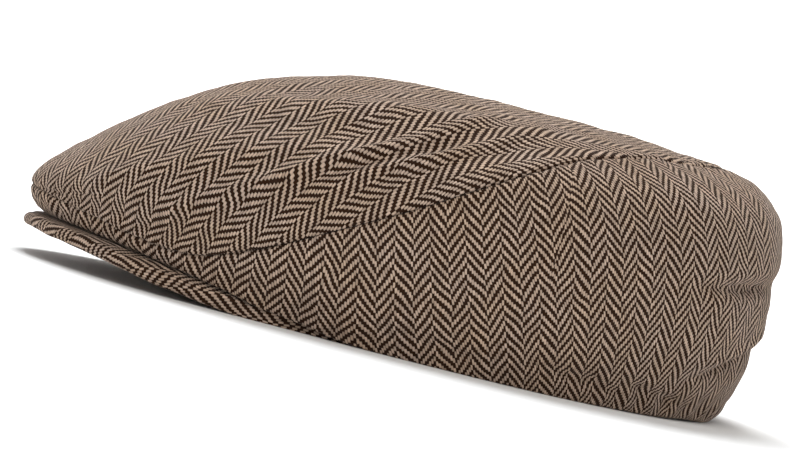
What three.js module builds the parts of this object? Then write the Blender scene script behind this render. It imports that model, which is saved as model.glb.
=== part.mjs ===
// Ivy cap: a flat cap of herringbone tweed, with a stiff peak under its front, a cloth
// sweatband round the head opening and a thin lining above it.
// Millimetres, +Z up, the peak points to -Y and the wearer's left side is +X.
// The origin is on the surface that the cap rests on, below the middle of its outline.

import * as THREE from 'three';
import { ParametricGeometry } from 'three/addons/geometries/ParametricGeometry.js';
import { mergeVertices } from 'three/addons/utils/BufferGeometryUtils.js';

// ---- driving dimensions --------------------------------------------------------------

const CLOTH = 2.0;              // tweed and its interlining, sewn as one wall
const GAP = 0.35;               // between two pieces that touch on the real cap
const SEAM_GAP = 0.55;          // along a meridian, where the seam crosses it at a slant

const WIDEST_Y = 34.4;          // where the cap is widest; this puts the origin under its middle
const HEAD_HALF_WIDTH = 83;     // inside of the sweatband
const HEAD_FRONT = 114.5;       // from WIDEST_Y to the sweatband at the forehead
const HEAD_BACK = 83;           // from WIDEST_Y to the sweatband at the nape

const BAND = 1.5;               // thickness of the sweatband
const BAND_HEIGHT = 31;
const BAND_TUCK = 0.8;          // how far its lower edge sits above the edge of the crown

const LINING = 1.0;

const PEAK_END = 72;            // degrees from the front where the peak ends, each side
const PEAK_THICKNESS = 4.8;     // both covers and the board between them, to a round edge
const PEAK_END_THICKNESS = 1.8;
const PEAK_MARGIN = 6.5;        // how far the peak shows in front of the crown
const PEAK_END_MARGIN = -3.2;   // its ends are tucked inside the side panels
const PEAK_ARCH = 9.0;          // rise of its middle over its two sides
const PEAK_ARCH_HALF_WIDTH = 74;
const PEAK_PITCH = 0.05;        // rise per millimetre from its tip back to its root
const PEAK_LIP = 3.0;           // width of the upper cover turned under the edge

// Shapes that change from the sides to the front, each between two angles from the front.
const PEAK_THICKENS = { from: PEAK_END, to: 56 };
const PEAK_WIDENS = { from: 70, to: 40 };
const CROWN_CLIMBS = { from: 76, to: 66 };      // the crown's lower edge, onto the peak
const BAND_CLIMBS = { from: 88, to: 60 };       // the sweatband's lower edge, with the peak
const BAND_TOP_CLIMB = 0.6;                     // the share of that which its top follows

// Where the folds fade out, as places up the crown: above its edge and below its middle.
const FOLDS_BEGIN = { none: 0.01, full: 0.06 };
const FOLDS_END = 0.03;
const UPRIGHT = 0.08;           // the wall stands upright at its edge, and leans by here
const ROW_CROWDING = 1.3;       // rows of points lie closer together near the lower edge

// The crown's outer face, from its lower edge to its top. Each row is a ring: how far it
// reaches from WIDEST_Y to each side, to the front and to the back, and how high it lies
// above the lower edge at those places.
const CROWN_RINGS = [
  { at: 0.00, side: 87.0, front: 160, back: 87.0, sideUp: 0, frontUp: 0, backUp: 0 },
  { at: 0.12, side: 93.0, front: 165, back: 92.0, sideUp: 12.5, frontUp: 9, backUp: 12.5 },
  { at: 0.28, side: 97.0, front: 164, back: 96.0, sideUp: 29, frontUp: 22, backUp: 29 },
  { at: 0.42, side: 98.0, front: 151, back: 97.5, sideUp: 45, frontUp: 39, backUp: 46 },
  { at: 0.56, side: 94.0, front: 132, back: 97.0, sideUp: 60.5, frontUp: 56, backUp: 62.5 },
  { at: 0.70, side: 83.0, front: 109, back: 92.0, sideUp: 73.5, frontUp: 71.5, backUp: 77 },
  { at: 0.84, side: 61.0, front: 79, back: 75.0, sideUp: 83.5, frontUp: 84.5, backUp: 87 },
  { at: 0.94, side: 30.0, front: 43, back: 38.0, sideUp: 89.5, frontUp: 90.5, backUp: 90.5 },
  { at: 1.00, side: 0.0, front: 0, back: 0.0, sideUp: 91.5, frontUp: 91.5, backUp: 91.5 },
];

// The seam between the top panel and the side panels: how far up the crown it lies, by
// the angle from the front. It dips almost to the peak and then climbs to the back.
const TOP_SEAM = [
  { angle: 0, at: 0.20 },
  { angle: 14, at: 0.16 },
  { angle: 28, at: 0.09 },
  { angle: 42, at: 0.06 },
  { angle: 52, at: 0.085 },
  { angle: 60, at: 0.195 },
  { angle: 69, at: 0.34 },
  { angle: 80, at: 0.51 },
  { angle: 90, at: 0.65 },
  { angle: 102, at: 0.76 },
  { angle: 125, at: 0.83 },
  { angle: 180, at: 0.86 },
];

// Soft dents (negative) and ridges (positive) in the cloth, in millimetres. Each is centred
// at an angle from the front (positive on the wearer's left) and a place up the crown, and
// fades over its spread. The slant turns its long side: places up the crown per degree.
const FOLDS = [
  { name: 'tuck over the left peak', angle: 42, at: 0.14, spread: 16, rise: 0.09, slant: 0, depth: -2.6 },
  { name: 'tuck over the right peak', angle: -42, at: 0.14, spread: 16, rise: 0.09, slant: 0, depth: -2.6 },
  { name: 'ridge of the top', angle: 62, at: 0.74, spread: 32, rise: 0.05, slant: 0.003, depth: 2.2 },
  { name: 'valley beside it', angle: 66, at: 0.64, spread: 26, rise: 0.05, slant: 0.003, depth: -1.6 },
  { name: 'crease behind the ear', angle: 149, at: 0.45, spread: 22, rise: 0.04, slant: 0.001, depth: -2.4 },
  { name: 'fold over the nape', angle: 156, at: 0.23, spread: 17, rise: 0.045, slant: 0.004, depth: -2.4 },
  { name: 'its like, right', angle: -152, at: 0.21, spread: 18, rise: 0.05, slant: -0.003, depth: -2.2 },
  { name: 'point of the left dart', angle: 96, at: 0.34, spread: 6, rise: 0.07, slant: 0, depth: -1.2 },
  { name: 'point of the right dart', angle: -96, at: 0.34, spread: 6, rise: 0.07, slant: 0, depth: -1.2 },
  { name: 'sag of the top', angle: -120, at: 0.90, spread: 70, rise: 0.08, slant: 0, depth: -1.6 },
];

// The lining's outer face, in the same terms as the crown's, above the sweatband's top.
const LINING_RINGS = [
  { at: 0.00, side: 84.5, front: 116, back: 84.5, up: 0 },
  { at: 0.25, side: 88.0, front: 117, back: 87.5, up: 13 },
  { at: 0.50, side: 83.0, front: 98, back: 84.5, up: 29 },
  { at: 0.75, side: 62.0, front: 68, back: 66.0, up: 43 },
  { at: 1.00, side: 0.0, front: 0, back: 0.0, up: 50 },
];

// ---- small tools ---------------------------------------------------------------------

const radians = THREE.MathUtils.degToRad;
const mix = THREE.MathUtils.lerp;

// A smooth curve through the rows of a table: a cubic between each two rows, whose slope
// at a row is that between the rows on either side of it.
function readTable(rows, key, value, x) {
  const last = rows.length - 1;
  const slope = (i) => {
    const before = rows[Math.max(i - 1, 0)];
    const after = rows[Math.min(i + 1, last)];
    return (after[value] - before[value]) / (after[key] - before[key]);
  };
  let i = 0;
  while (i < last - 1 && x > rows[i + 1][key]) i += 1;
  const span = rows[i + 1][key] - rows[i][key];
  const s = THREE.MathUtils.clamp((x - rows[i][key]) / span, 0, 1);
  const fromStart = (1 + 2 * s) * (1 - s) ** 2 * rows[i][value];
  const fromEnd = s * s * (3 - 2 * s) * rows[i + 1][value];
  const bend = s * (1 - s) * ((1 - s) * slope(i) - s * slope(i + 1)) * span;
  return fromStart + fromEnd + bend;
}

// A point of a ring: an ellipse quarter to the front and another to the back of WIDEST_Y.
function ringPoint(angle, side, front, back) {
  const forward = Math.cos(angle);
  const reach = forward > 0 ? front : back;
  return new THREE.Vector2(side * Math.sin(angle), WIDEST_Y - reach * forward);
}

// A height at the front, blended to one at the sides and one at the back.
function ringHeight(angle, sideUp, frontUp, backUp) {
  const forward = Math.cos(angle);
  return mix(sideUp, forward > 0 ? frontUp : backUp, forward ** 2);
}

// A closed solid: a loop of points, given for each of several stations, swept from the
// first station to the last. An open sweep is closed at both ends, down to the middle of
// its wall, so the loop runs up one face of the wall and back down the other.
function sweep(loops, closed) {
  const size = loops[0].length;
  const capped = closed ? [...loops, loops[0]] : [wallMiddle(loops[0]), ...loops, wallMiddle(loops.at(-1))];
  const surface = (u, v, target) => {
    const station = Math.round(u * (capped.length - 1));
    target.copy(capped[station][Math.round(v * size) % size]);
  };
  return tidy(new ParametricGeometry(surface, capped.length - 1, size));
}

function wallMiddle(loop) {
  return loop.map((point, i) => point.clone().lerp(loop[loop.length - 1 - i], 0.5));
}

// Joins the vertices of a closed mesh, drops triangles that have no area, and turns its
// faces outward.
function tidy(geometry) {
  geometry.deleteAttribute('normal');
  geometry.deleteAttribute('uv');
  const merged = mergeVertices(geometry, 1e-3);
  const corners = merged.getAttribute('position');
  const point = (i) => new THREE.Vector3().fromBufferAttribute(corners, i);
  const kept = [];
  let volume = 0;
  for (let i = 0; i < merged.index.count; i += 3) {
    const [a, b, c] = [0, 1, 2].map((k) => merged.index.getX(i + k));
    if (a !== b && b !== c && c !== a) {
      kept.push(a, b, c);
      volume += point(a).dot(point(b).cross(point(c)));
    }
  }
  merged.setIndex(volume < 0 ? kept.reverse() : kept);
  merged.computeVertexNormals();
  return merged;
}

function stations(count, from, to) {
  return Array.from({ length: count + 1 }, (_, i) => mix(from, to, i / count));
}

// ---- the peak's surfaces -------------------------------------------------------------

// A share that grows from 0 at one angle each side of the front to 1 at a smaller one.
function towardsFront(angle, range) {
  return THREE.MathUtils.smoothstep(-Math.abs(angle), radians(-range.from), radians(-range.to));
}

// The peak thins out to its two ends.
function peakThickness(angle) {
  return mix(PEAK_END_THICKNESS, PEAK_THICKNESS, towardsFront(angle, PEAK_THICKENS));
}

function peakUnderside(point) {
  const across = 1 - Math.abs(point.x / PEAK_ARCH_HALF_WIDTH) ** 3;
  const tipY = WIDEST_Y - CROWN_RINGS[0].front - PEAK_MARGIN;
  return Math.max(across, 0) * (PEAK_ARCH + PEAK_PITCH * (point.y - tipY));
}

// The lower edge of the crown: on the resting surface, and over the peak at the front.
function crownEdge(angle) {
  const row = CROWN_RINGS[0];
  const point = ringPoint(angle, row.side - CLOTH, row.front - CLOTH, row.back);
  const over = towardsFront(angle, CROWN_CLIMBS);
  return over * (peakUnderside(point) + peakThickness(angle) + GAP);
}

// ---- the crown's surface -------------------------------------------------------------

function seamAt(angle) {
  return readTable(TOP_SEAM, 'angle', 'at', Math.abs(THREE.MathUtils.radToDeg(angle)));
}

function foldDepth(angle, at) {
  const turned = THREE.MathUtils.radToDeg(angle);
  return FOLDS.reduce((sum, fold) => {
    const along = THREE.MathUtils.euclideanModulo(turned - fold.angle + 180, 360) - 180;
    const across = (at - fold.at - fold.slant * along) / fold.rise;
    return sum + fold.depth * Math.exp(-((along / fold.spread) ** 2) - across ** 2);
  }, 0);
}

function crownSmooth(angle, at) {
  const read = (column) => readTable(CROWN_RINGS, 'at', column, at);
  const point = ringPoint(angle, read('side'), read('front'), read('back'));
  const height = ringHeight(angle, read('sideUp'), read('frontUp'), read('backUp'));
  const edge = crownEdge(angle) * (1 - at) ** 2;
  return new THREE.Vector3(point.x, point.y, edge + height);
}

function crownNormal(angle, at) {
  if (at > 0.998) return new THREE.Vector3(0, 0, 1);
  const step = 0.002;
  const around = crownSmooth(angle + step, at).sub(crownSmooth(angle - step, at));
  const low = Math.max(at - step, 0);
  const upward = crownSmooth(angle, at + step).sub(crownSmooth(angle, low));
  const normal = around.cross(upward).normalize();
  normal.z *= THREE.MathUtils.smoothstep(at, 0, UPRIGHT);
  return normal.normalize();
}

// A point of the crown's wall, a depth inward from its outer face. The wall stands upright
// at its lower edge, so the edge is flat where it rests.
function crownWall(angle, at, depth) {
  const begin = THREE.MathUtils.smoothstep(at, FOLDS_BEGIN.none, FOLDS_BEGIN.full);
  const end = THREE.MathUtils.smoothstep(1 - at, 0, FOLDS_END);
  const shift = foldDepth(angle, at) * begin * end - depth;
  return crownSmooth(angle, at).addScaledVector(crownNormal(angle, at), shift);
}

function crownRise(angle, at) {
  return crownSmooth(angle, at + 0.005).distanceTo(crownSmooth(angle, at - 0.005)) / 0.01;
}

// The wall of the crown at one angle, between two places up the crown, as a loop.
function crownLoop(angle, from, to, rows) {
  const places = stations(rows, 0, 1).map((share) => mix(from, to, share ** ROW_CROWDING));
  const outer = places.map((at) => crownWall(angle, at, 0));
  const inner = places.map((at) => crownWall(angle, at, CLOTH)).reverse();
  return [...outer, ...inner];
}

// ---- the pieces ----------------------------------------------------------------------

function topPanel() {
  const angles = stations(60, -Math.PI, Math.PI).slice(0, -1);
  const loops = angles.map((angle) => {
    const seam = seamAt(angle);
    return crownLoop(angle, seam + SEAM_GAP / 2 / crownRise(angle, seam), 1, 13);
  });
  return sweep(loops, true);
}

// One side panel, from the seam at the middle of the front round to the one at the nape.
function sidePanel(side) {
  const loops = stations(40, 0, Math.PI).map((turn) => {
    const angle = side * turn;
    const seam = seamAt(angle);
    const loop = crownLoop(angle, 0, seam - SEAM_GAP / 2 / crownRise(angle, seam), 9);
    loop.forEach((point) => {
      point.x = side * Math.max(side * point.x, GAP / 2);
    });
    return loop;
  });
  return sweep(loops, false);
}

// The head opening's outline, a distance outside the inner face of the sweatband.
function headPoint(angle, out) {
  return ringPoint(angle, HEAD_HALF_WIDTH + out, HEAD_FRONT + out, HEAD_BACK + out);
}

function bandEdge(angle) {
  return BAND_TUCK + towardsFront(angle, BAND_CLIMBS) * peakUnderside(headPoint(angle, BAND));
}

function bandTop(angle) {
  return BAND_HEIGHT + mix(BAND_TUCK, bandEdge(angle), BAND_TOP_CLIMB);
}

function sweatband() {
  const loops = stations(56, -Math.PI, Math.PI).slice(0, -1).map((angle) => {
    const heights = stations(3, bandEdge(angle), bandTop(angle));
    const face = (out) => heights.map((z) => {
      const point = headPoint(angle, out);
      return new THREE.Vector3(point.x, point.y, z);
    });
    return [...face(BAND), ...face(0).reverse()];
  });
  return sweep(loops, true);
}

function liningPoint(angle, at, depth) {
  const read = (column) => readTable(LINING_RINGS, 'at', column, at);
  const shrink = (column) => read(column) * (1 - depth / LINING_RINGS[0].side);
  const point = ringPoint(angle, shrink('side'), shrink('front'), shrink('back'));
  const base = mix(bandTop(angle), BAND_HEIGHT + BAND_TUCK, at) + GAP;
  return new THREE.Vector3(point.x, point.y, base + read('up') - depth * at);
}

function lining() {
  const places = stations(9, 0, 1);
  const loops = stations(48, -Math.PI, Math.PI).slice(0, -1).map((angle) => [
    ...places.map((at) => liningPoint(angle, at, 0)),
    ...places.map((at) => liningPoint(angle, at, LINING)).reverse(),
  ]);
  return sweep(loops, true);
}

// A point of the peak: a share of the way from its root to its edge, and a distance below
// its upper face.
function peakPoint(angle, share, drop) {
  const root = headPoint(angle, BAND + GAP);
  const row = CROWN_RINGS[0];
  const margin = mix(PEAK_END_MARGIN, PEAK_MARGIN, towardsFront(angle, PEAK_WIDENS));
  const edge = ringPoint(angle, row.side + margin, row.front + margin, row.back);
  const plan = root.lerp(edge, share);
  const top = peakUnderside(plan) + peakThickness(angle);
  return new THREE.Vector3(plan.x, plan.y, top - drop);
}

function peakWidth(angle) {
  const across = peakPoint(angle, 1, 0).sub(peakPoint(angle, 0, 0));
  return Math.hypot(across.x, across.y);
}

const PEAK_ANGLES = stations(40, radians(-PEAK_END), radians(PEAK_END));

// The upper cover: a wall over the board, an edge rolled round half a circle, and a lip
// turned under it.
function peakUpper() {
  const loops = PEAK_ANGLES.map((angle) => {
    const thickness = peakThickness(angle);
    const wall = (thickness - GAP) / 2;
    const radius = thickness / 2;
    const shareOf = (length) => 1 - length / peakWidth(angle);
    const top = [0, 0.3, 0.6, 0.8].map((share) => peakPoint(angle, share * shareOf(radius), 0));
    const roll = stations(5, Math.PI / 2, -Math.PI / 2).map((turn) => {
      const share = shareOf(radius * (1 - Math.cos(turn)));
      return peakPoint(angle, share, radius * (1 - Math.sin(turn)));
    });
    const lip = shareOf(radius + PEAK_LIP);
    const under = [lip, lip].map((share, i) => peakPoint(angle, share, i ? wall : thickness));
    const inside = [0.8, 0.6, 0.3, 0].map((share) => peakPoint(angle, share * lip, wall));
    return [...top, ...roll, ...under, ...inside];
  });
  return sweep(loops, false);
}

// The under cover, set inside the lip.
function peakUnder() {
  const loops = PEAK_ANGLES.map((angle) => {
    const thickness = peakThickness(angle);
    const wall = (thickness - GAP) / 2;
    const radius = thickness / 2;
    const reach = 1 - (radius + PEAK_LIP + GAP) / peakWidth(angle);
    const face = (drop) => stations(4, 0, reach).map((share) => peakPoint(angle, share, drop));
    return [...face(wall + GAP), ...face(thickness).reverse()];
  });
  return sweep(loops, false);
}

// ---- the cap -------------------------------------------------------------------------

const tweed = { color: 0x8a7761, roughness: 0.95, metalness: 0 };
const paleTweed = { color: 0x85705f, roughness: 0.95, metalness: 0 };
const blackCotton = { color: 0x1d1e22, roughness: 0.9, metalness: 0 };
const blackLining = { color: 0x121316, roughness: 0.8, metalness: 0 };

const cap = new THREE.Group();

function addPiece(name, geometry, look) {
  const mesh = new THREE.Mesh(geometry, new THREE.MeshStandardMaterial(look));
  mesh.name = name;
  cap.add(mesh);
}

addPiece('top_panel', topPanel(), tweed);
addPiece('side_panel_left', sidePanel(1), tweed);
addPiece('side_panel_right', sidePanel(-1), tweed);
addPiece('peak_upper', peakUpper(), tweed);
addPiece('peak_under', peakUnder(), paleTweed);
addPiece('sweatband', sweatband(), blackCotton);
addPiece('lining', lining(), blackLining);

export default cap;
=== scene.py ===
"""Ivy cap in herringbone tweed: the looks, built round the packed solids.

Shapes are worked out in millimetres in the frame's own axes: +Z up, the peak points to -Y,
and the wearer's left side is +X. A place on the crown is an angle from the front, positive
on the wearer's left, and a share of the way up, from 0 at the lower edge to 1 at the top.
"""

import math

import bpy
import numpy as np
from mathutils import Matrix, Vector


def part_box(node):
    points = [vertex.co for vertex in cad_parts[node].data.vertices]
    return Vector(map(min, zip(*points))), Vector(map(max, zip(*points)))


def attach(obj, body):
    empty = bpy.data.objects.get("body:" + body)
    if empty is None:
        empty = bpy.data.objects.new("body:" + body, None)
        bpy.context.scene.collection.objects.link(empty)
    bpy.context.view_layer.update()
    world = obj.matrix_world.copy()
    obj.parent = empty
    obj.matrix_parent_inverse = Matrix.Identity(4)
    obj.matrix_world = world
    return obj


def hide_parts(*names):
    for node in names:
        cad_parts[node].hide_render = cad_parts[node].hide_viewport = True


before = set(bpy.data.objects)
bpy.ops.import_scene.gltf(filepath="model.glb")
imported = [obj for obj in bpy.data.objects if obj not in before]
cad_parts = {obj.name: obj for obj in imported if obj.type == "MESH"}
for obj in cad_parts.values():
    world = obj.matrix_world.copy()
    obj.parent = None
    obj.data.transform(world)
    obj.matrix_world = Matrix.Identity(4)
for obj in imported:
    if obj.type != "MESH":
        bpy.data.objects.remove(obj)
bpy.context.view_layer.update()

bl_info = {
    "name": "Ivy Cap",
    "version": (1, 0, 0),
    "blender": (4, 5, 0),
    "location": "3D View > Sidebar > Cap",
    "description": "Builds an ivy cap in herringbone tweed over its packed solids",
    "category": "Add Mesh",
}

MM = 0.001
WEAVE_MAP = "weave"
TWEED = "herringbone_tweed"
BODY = "root"

# ---- sizes read from the solids --------------------------------------------------------


def node_box(node):
    """A node's lowest and highest corners, in millimetres."""
    low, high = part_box(node)
    return np.array(low) / MM, np.array(high) / MM


BAND_LOW, BAND_HIGH = node_box("sweatband")
HEAD_SIDE = BAND_HIGH[0]                # outside of the sweatband, at the sides and the nape
WIDEST_Y = BAND_HIGH[1] - HEAD_SIDE     # where the cap is widest
HEAD_FRONT = WIDEST_Y - BAND_LOW[1]     # from there to the forehead

# ---- sizes in millimetres and degrees, most of them as in the solids -------------------

CLOTH = 2.0             # a crown panel with its interlining
GAP = 0.35              # between pieces that touch
SEAM_GAP = 0.2          # along the top seam, drawn together by its stitches
BAND = 1.5              # thickness of the sweatband
BAND_HEIGHT = 31
BAND_TUCK = 0.8         # from the crown's lower edge up to the sweatband's
LINING = 1.0            # thickness of the lining
PEAK_END = 72           # from the front to the peak's end on each side
PEAK_THICKNESS = 4.8
PEAK_END_THICKNESS = 1.8
PEAK_MARGIN = 6.5       # how far the peak reaches out past the crown's edge at the front
PEAK_END_MARGIN = -3.2  # and at its ends, which lie inside it
PEAK_ARCH = 9.0         # height of the peak's underside at its tip
PEAK_ARCH_HALF_WIDTH = 74           # from the middle to the feet of the arch
PEAK_PITCH = 0.05       # rise of its middle towards the back, per millimetre
PEAK_LIP = 3.0          # width of the cloth turned under, within the round edge

# Where something starts to grow towards the front, and where it is full, in degrees.
THICKNESS_TURN = (PEAK_END, 56)     # thickness of the peak
MARGIN_TURN = (70, 40)              # how far the peak reaches out
EDGE_TURN = (76, 66)                # rise of the crown's lower edge over the peak
BAND_TURN = (88, 60)                # rise of the sweatband over the peak
FLAT_HEM_TURN = (78, 70)            # how flat the crown's edge lies on the peak

# How far up, then the reach from WIDEST_Y to the side, front and back, then the height
# above the lower edge at the side, front and back.
CROWN_RINGS = np.array([
    (0.00, 87.0, 160, 87.0, 0, 0, 0),
    (0.12, 93.0, 165, 92.0, 12.5, 9, 12.5),
    (0.28, 97.0, 164, 96.0, 29, 22, 29),
    (0.42, 98.0, 151, 97.5, 45, 39, 46),
    (0.56, 94.0, 132, 97.0, 60.5, 56, 62.5),
    (0.70, 83.0, 109, 92.0, 73.5, 71.5, 77),
    (0.84, 61.0, 79, 75.0, 83.5, 84.5, 87),
    (0.94, 30.0, 43, 38.0, 89.5, 90.5, 90.5),
    (1.00, 0.0, 0, 0.0, 91.5, 91.5, 91.5),
])

# The seam round the top panel: the angle from the front, and how far up it lies.
TOP_SEAM = np.array([
    (0, 0.20), (14, 0.16), (28, 0.09), (42, 0.06), (52, 0.085), (60, 0.195),
    (69, 0.34), (80, 0.51), (90, 0.65), (102, 0.76), (125, 0.83), (180, 0.86),
])

# Dents (negative) and ridges (positive): angle, place up the crown, spread in degrees,
# spread up the crown, places up the crown per degree along its length, and depth.
FOLDS = np.array([
    (42, 0.14, 16, 0.09, 0, -2.6),          # tuck over the left of the peak
    (-42, 0.14, 16, 0.09, 0, -2.6),         # and over its right
    (62, 0.74, 32, 0.05, 0.003, 2.2),       # ridge along the top
    (66, 0.64, 26, 0.05, 0.003, -1.6),      # valley beside it
    (149, 0.45, 22, 0.04, 0.001, -2.4),     # crease behind the left ear
    (156, 0.23, 17, 0.045, 0.004, -2.4),    # fold over the nape
    (-152, 0.21, 18, 0.05, -0.003, -2.2),   # its like on the right
    (96, 0.34, 6, 0.07, 0, -1.2),           # point of the left dart
    (-96, 0.34, 6, 0.07, 0, -1.2),          # point of the right dart
    (-120, 0.90, 70, 0.08, 0, -1.6),        # sag of the top
])

# Smaller creases, pressed into the cloth only.
CREASES = np.array([
    (60, 0.485, 15, 0.032, 0.0180, 2.3),     # upper ridge of the top, rising with the seam
    (63, 0.470, 15, 0.040, 0.0180, -1.8),    # valley below it
    (70, 0.555, 16, 0.028, 0.0140, 1.7),     # lower ridge
    (73, 0.545, 15, 0.034, 0.0140, -1.1),    # valley between it and the seam
    (38, 0.36, 12, 0.035, 0.0100, 0.9),      # soft ridge above the peak
    (-58, 0.50, 16, 0.035, -0.0150, 1.8),    # ridge on the right of the top
    (-64, 0.48, 16, 0.035, -0.0150, -1.2),   # valley below it
    (145, 0.441, 14, 0.013, 0.0013, -2.0),   # crease behind the left ear
    (145, 0.482, 14, 0.024, 0.0013, 1.6),    # and the roll above it
    (143, 0.400, 13, 0.022, 0.0013, 0.9),    # and below it
    (154, 0.232, 15, 0.013, 0.0050, -2.4),   # crease over the nape
    (152, 0.272, 15, 0.022, 0.0050, 2.0),    # and the roll above it
    (105, 0.070, 6, 0.022, -0.002, -1.9),    # puckers along the lower edge
    (114, 0.060, 5, 0.018, -0.003, -1.7),
    (123, 0.078, 6, 0.020, -0.003, -1.8),
    (132, 0.062, 5, 0.018, -0.003, -1.4),
    (86, 0.060, 6, 0.016, -0.002, -0.8),
    (-110, 0.070, 6, 0.018, 0.003, -1.4),
    (-122, 0.060, 5, 0.016, 0.003, -1.2),
    (30, 0.21, 9, 0.012, 0.004, -0.8),       # creases over the peak
    (20, 0.165, 8, 0.012, -0.003, -0.9),
    (-26, 0.20, 9, 0.012, -0.004, -0.9),
])

# The lining: how far up, then its reach to the side, front and back, and its height.
LINING_RINGS = np.array([
    (0.00, 84.5, 116, 84.5, 0),
    (0.25, 88.0, 117, 87.5, 13),
    (0.50, 83.0, 98, 84.5, 29),
    (0.75, 62.0, 68, 66.0, 43),
    (1.00, 0.0, 0, 0.0, 50),
])

HEM_RADIUS = 1.0        # half the wall, so the turned edge is round
INNER_RADIUS = 0.95     # on the inner face, which leaves a narrow flat between them
SEAM_RADIUS = 0.5       # round edge of the cloth at a seam
UNDER_RADIUS = 0.6      # round edge of the cover below the peak
BAND_RADIUS = 0.7       # round edges of the sweatband
EDGE_OFFSETS = np.array([0, 0.12, 0.35, 0.65, 1.0, 1.5])    # rows close to a sewn or turned edge
SIDE_INNER_ROWS = 10    # rows on the plain inner face of a side panel
TOP_INNER_ROWS = 12     # and of the top panel
MIDDLE_CROWDING = 1.5   # how rows crowd towards the middle of the top
DART_POINT = 0.34       # how far up the dart starts
DART_ANGLE = 96
DART_FADE = (75, 85)    # degrees over which a dart's shape comes in from the front
SHORTEST_DART = 0.01    # least way up a dart, where the seam is lower than its point
HEM_LIFT = 0.35         # height of each of the low waves along the turned edge
LIFT_FADE = 0.1         # how far up the crown they reach
PUCKER_LENGTH = 7.6     # from one gather of the top seam to the next
PUCKER_REACH = 7.0      # how far the gathers run into the cloth
GATHER_LENGTH = 11      # from one gather of the turned edge to the next
FRONT_GATHERS = 0.5     # their height in front of the ear, as a share of a pucker's
REAR_GATHERS = 2.5      # and behind it
REAR = (92, 112)        # degrees over which one passes into the other

# Sewn lines: depth and width of the dip, then height, distance and width of the swell.
MIDDLE_SEAM = (0.8, 0.9, 0.3, 4, 2.6)
DART_LINE = (0.25, 1.0, 0.2, 4, 3.5)
SIDE_DIP_WIDTH = 0.9    # of the top seam, whose depth is a setting
TOP_DIP_WIDTH = 0.7
TOP_SWELL = (2.4, 2.2)
TOP_SWELL_HEIGHTS = (0.15, 0.55)    # least, and most, near the angle where the top puffs out
PUFF_ANGLE = 72
PUFF_SPREAD = 26

# How far up the crown its folds come in, how near the middle of the top they end, and how
# far up its waves come in.
FOLDS_FROM = (0.01, 0.06)
FOLDS_END = 0.03
WAVES_FROM = (0.005, 0.05)

# Waves in the cloth: seed, how many, then the longest and the shortest.
DRAPE_WAVES = (5, 26, 70, 16)
COCKLE_WAVES = (8, 30, 15, 6)
PEAK_WAVES = (21, 20, 40, 9)
BAND_WAVES = (31, 20, 60, 14)
BAND_WAVE_HEIGHT = 0.25
UPPER_WAVES = 0.5       # height of the peak's waves on top, as a share of the drape's
UNDER_WAVES = 0.3       # and below
PEAK_WAVES_FROM = (20, 30)          # millimetres out from its root over which they come in
BAND_OFFSETS = np.array([0, 0.1, 0.3, 0.7])     # rows close to the sweatband's edges
BAND_ROWS = 22          # rows between those

TOP_GRAIN = -24         # degrees that the top panel's threads turn from front to back
NET_UP = 18             # cells up the nets that lay the panels flat
TOP_NET_AROUND = 80     # and round them
SIDE_NET_AROUND = 90
NET_ROUNDS = 20

# How the side panels' threads lean to the front on their way up, in degrees, and how
# closely they lie, by the angle from the front.
SIDE_GRAIN = np.array([
    (0, 0, 1), (55, 1, 1), (68, 5, 1), (76, 12, 1.02), (84, 18, 1.07), (92, 20, 1.13),
    (100, 20, 1.16), (112, 18, 1.17), (124, 11, 1.15), (138, 0, 1.1), (160, -4, 1), (180, -4, 1),
])

# ---- small tools -----------------------------------------------------------------------


def smoothstep(x, low, high):
    """0 below low, 1 above high, and an S-shaped curve between."""
    s = np.clip((x - low) / (high - low), 0, 1)
    return s * s * (3 - 2 * s)


def mix(a, b, share):
    """A straight line from a, at a share of 0, to b, at 1."""
    return a + (b - a) * share


def bell(x, width):
    """1 at zero, falling away smoothly on both sides over the width."""
    return np.exp(-(np.asarray(x) / width) ** 2)


def unit(vectors):
    return vectors / np.linalg.norm(vectors, axis=-1, keepdims=True)


def read_table(table, x):
    """Cubics through a table's rows; a row's slope is that between the rows beside it."""
    keys, values = table[:, 0], table[:, 1:]
    x = np.asarray(x, float)
    last = len(keys) - 1
    rows = np.arange(last + 1)
    before, after = np.maximum(rows - 1, 0), np.minimum(rows + 1, last)
    slopes = (values[after] - values[before]) / (keys[after] - keys[before])[:, None]
    i = np.clip(np.searchsorted(keys, x, side="right") - 1, 0, last - 1)
    span = (keys[i + 1] - keys[i])[..., None]
    s = np.clip((x - keys[i])[..., None] / span, 0, 1)
    ends = (1 + 2 * s) * (1 - s) ** 2 * values[i] + s * s * (3 - 2 * s) * values[i + 1]
    return ends + s * (1 - s) * ((1 - s) * slopes[i] - s * slopes[i + 1]) * span


def columns(table, x):
    """The table's columns at x, one array each."""
    return np.moveaxis(read_table(table, x), -1, 0)


def running_length(points, axis):
    """The length along a grid's lines from their first point."""
    steps = np.linalg.norm(np.diff(points, axis=axis), axis=-1)
    start = np.zeros_like(np.take(steps, [0], axis=axis))
    return np.concatenate([start, np.cumsum(steps, axis=axis)], axis=axis)


def ripple(points, seed, count, longest, shortest):
    """A sum of plane waves through space, between two wavelengths; long ones are higher.
    The result is about -1 to 1 and the same for the same seed."""
    random = np.random.default_rng(seed)
    directions = unit(random.normal(size=(count, 3)))
    lengths = np.geomspace(longest, shortest, count)
    phases = random.uniform(0, 2 * np.pi, count)
    weights = lengths / np.sqrt(np.sum(lengths ** 2))
    turns = points @ (directions / lengths[:, None]).T
    return np.sin(2 * np.pi * turns + phases) @ weights


# ---- the peak's surfaces ---------------------------------------------------------------


def ring_point(angle, side, front, back):
    """An ellipse quarter to the front and another to the back of WIDEST_Y, in plan."""
    forward = np.cos(angle)
    reach = np.where(forward > 0, front, back)
    return np.stack([side * np.sin(angle), WIDEST_Y - reach * forward], -1)


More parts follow.
